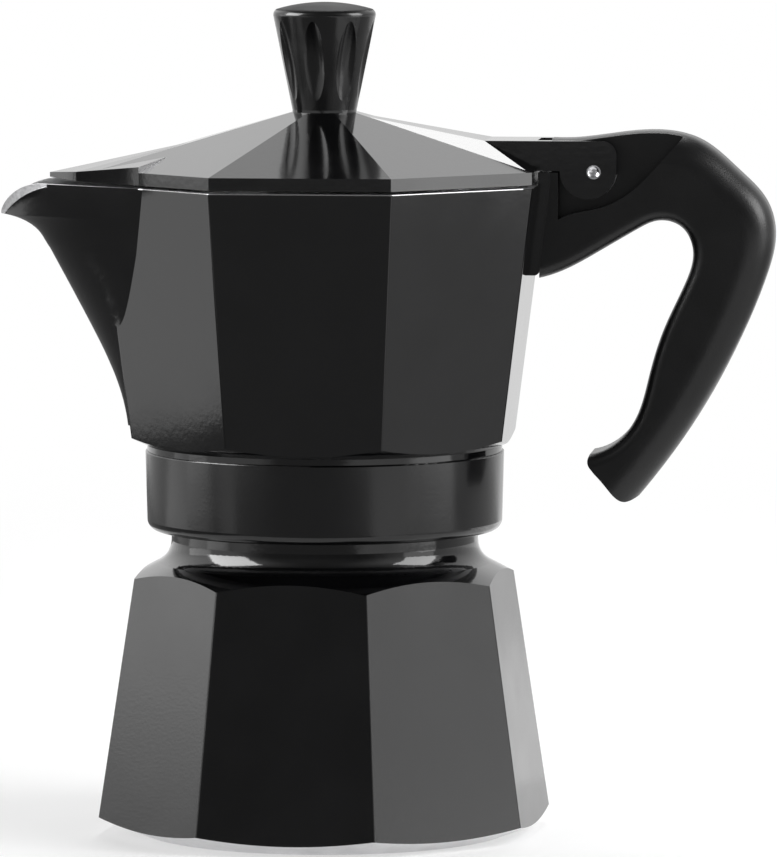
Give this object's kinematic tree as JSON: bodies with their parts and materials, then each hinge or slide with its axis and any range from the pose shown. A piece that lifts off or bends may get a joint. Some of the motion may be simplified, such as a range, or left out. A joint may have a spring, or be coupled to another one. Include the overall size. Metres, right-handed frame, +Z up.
{
  "type": "moka pot",
  "caption": "Stove-top moka pot: octagonal black boiler and collector screwed together at a round collar, hinged lid with fluted knob, pouring spout and hooked handle.",
  "frame": {"origin": "centre of the boiler's base, on the table", "axes": "+Z up along the pot's axis, +X towards the handle, -X towards the spout"},
  "size_m": [0.1497, 0.09, 0.16],
  "materials": {
    "black_paint": "gloss",
    "black_plastic": "satin",
    "brass": "machined",
    "steel": "polished",
    "rubber": "matt",
    "aluminium": "satin"
  },
  "bodies": {
    "boiler_body": {"boiler": "black_paint", "valve_body": "brass", "valve_washer": "rubber", "valve_cap": "brass", "valve_spring": "steel", "funnel": "aluminium", "funnel_sieve": "aluminium"},
    "valve_poppet": {"valve_pin": "steel"},
    "seal_pack": {"gasket": "rubber", "filter_plate": "aluminium"},
    "collector_body": {"collector": "black_paint", "handle": "black_plastic", "hinge_pin": "steel"},
    "lid_body": {"lid": "black_paint", "knob": "black_plastic", "knob_insert": "brass", "knob_screw": "steel"}
  },
  "joints": [
    {"name": "valve_lift", "type": "slide", "parent": "boiler_body", "child": "valve_poppet", "axis": [0.0735, 0.9872, 0.1415], "range_m": [0, 0.0012], "stiffness_N_per_m": 2000, "springref_m": -0.002, "deforming": ["valve_spring"]},
    {"name": "collector_lift", "type": "slide", "parent": "boiler_body", "child": "seal_pack", "axis": [0, 0, 1], "range_m": [0, 0.006]},
    {"name": "collector_unscrew", "type": "hinge", "parent": "seal_pack", "child": "collector_body", "pos_m": [0, 0, 0.0637], "axis": [0, 0, 1], "range_deg": [0, 720]},
    {"name": "lid_hinge", "type": "hinge", "parent": "collector_body", "child": "lid_body", "pos_m": [0.05247, 0, 0.128], "axis": [0, 1, 0], "range_deg": [0, 105]}
  ],
  "couplings": [
    {"joint": "collector_lift", "follows": "collector_unscrew", "m_per_rad": 0.00047746}
  ]
}
